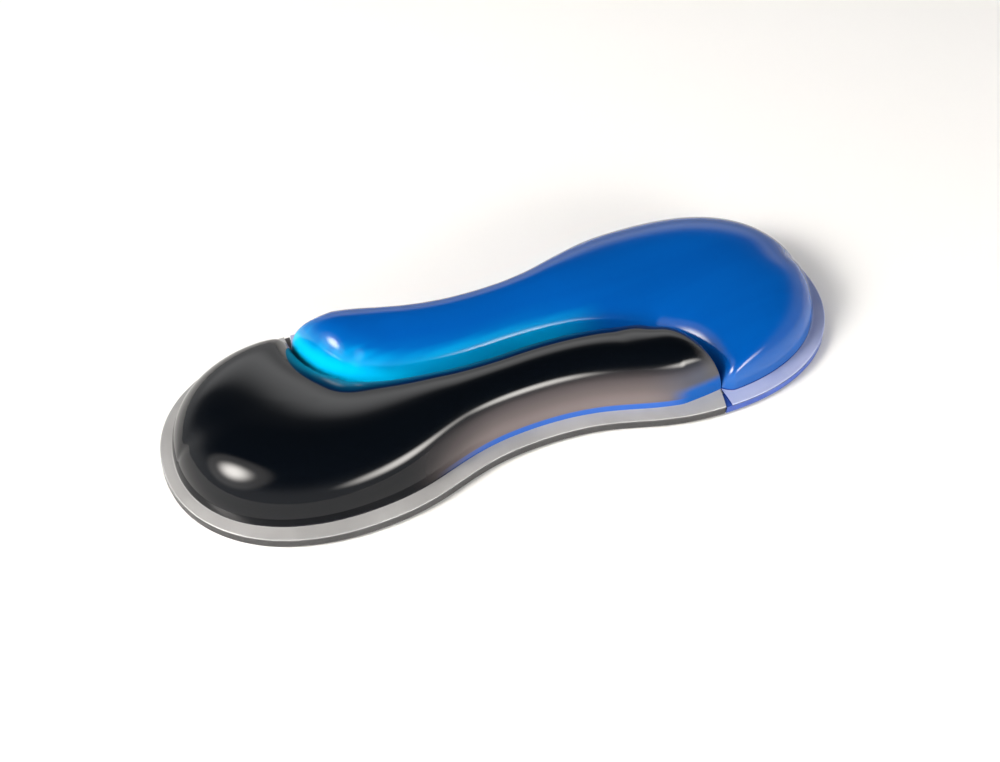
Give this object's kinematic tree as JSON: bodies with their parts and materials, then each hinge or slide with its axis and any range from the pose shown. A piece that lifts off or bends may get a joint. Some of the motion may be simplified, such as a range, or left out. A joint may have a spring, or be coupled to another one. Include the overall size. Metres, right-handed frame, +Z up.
{
  "type": "wrist rest",
  "caption": "Gel wrist rest with two interlocking glossy pads, one smoke and one blue, on a peanut-shaped non-slip base.",
  "frame": {"origin": "centre of the footprint, on the surface the rest lies on", "axes": "+X along the rest towards the blue lobe, +Y away from the user, +Z up"},
  "size_m": [0.21, 0.08, 0.0219],
  "materials": {
    "smoke_film": "high gloss film over smoke gel, near black",
    "blue_film": "high gloss film over blue gel, cyan where thin",
    "smoke_gel": "soft clear gel, dark smoke",
    "blue_gel": "soft clear gel, royal blue",
    "smoke_rim": "satin dark grey edge",
    "blue_rim": "satin blue edge",
    "backing": "smooth film",
    "plate": "matte",
    "grip": "fine dimpled non-slip rubber"
  },
  "bodies": {
    "root": {"grip_sheet": "grip", "base_plate": "plate", "smoke_backing_film": "backing", "blue_backing_film": "backing", "smoke_rim": "smoke_rim", "blue_rim": "blue_rim", "smoke_skin": "smoke_film", "blue_skin": "blue_film", "smoke_gel": "smoke_gel", "smoke_under_gel": "blue_gel", "blue_gel": "blue_gel"}
  },
  "joints": []
}
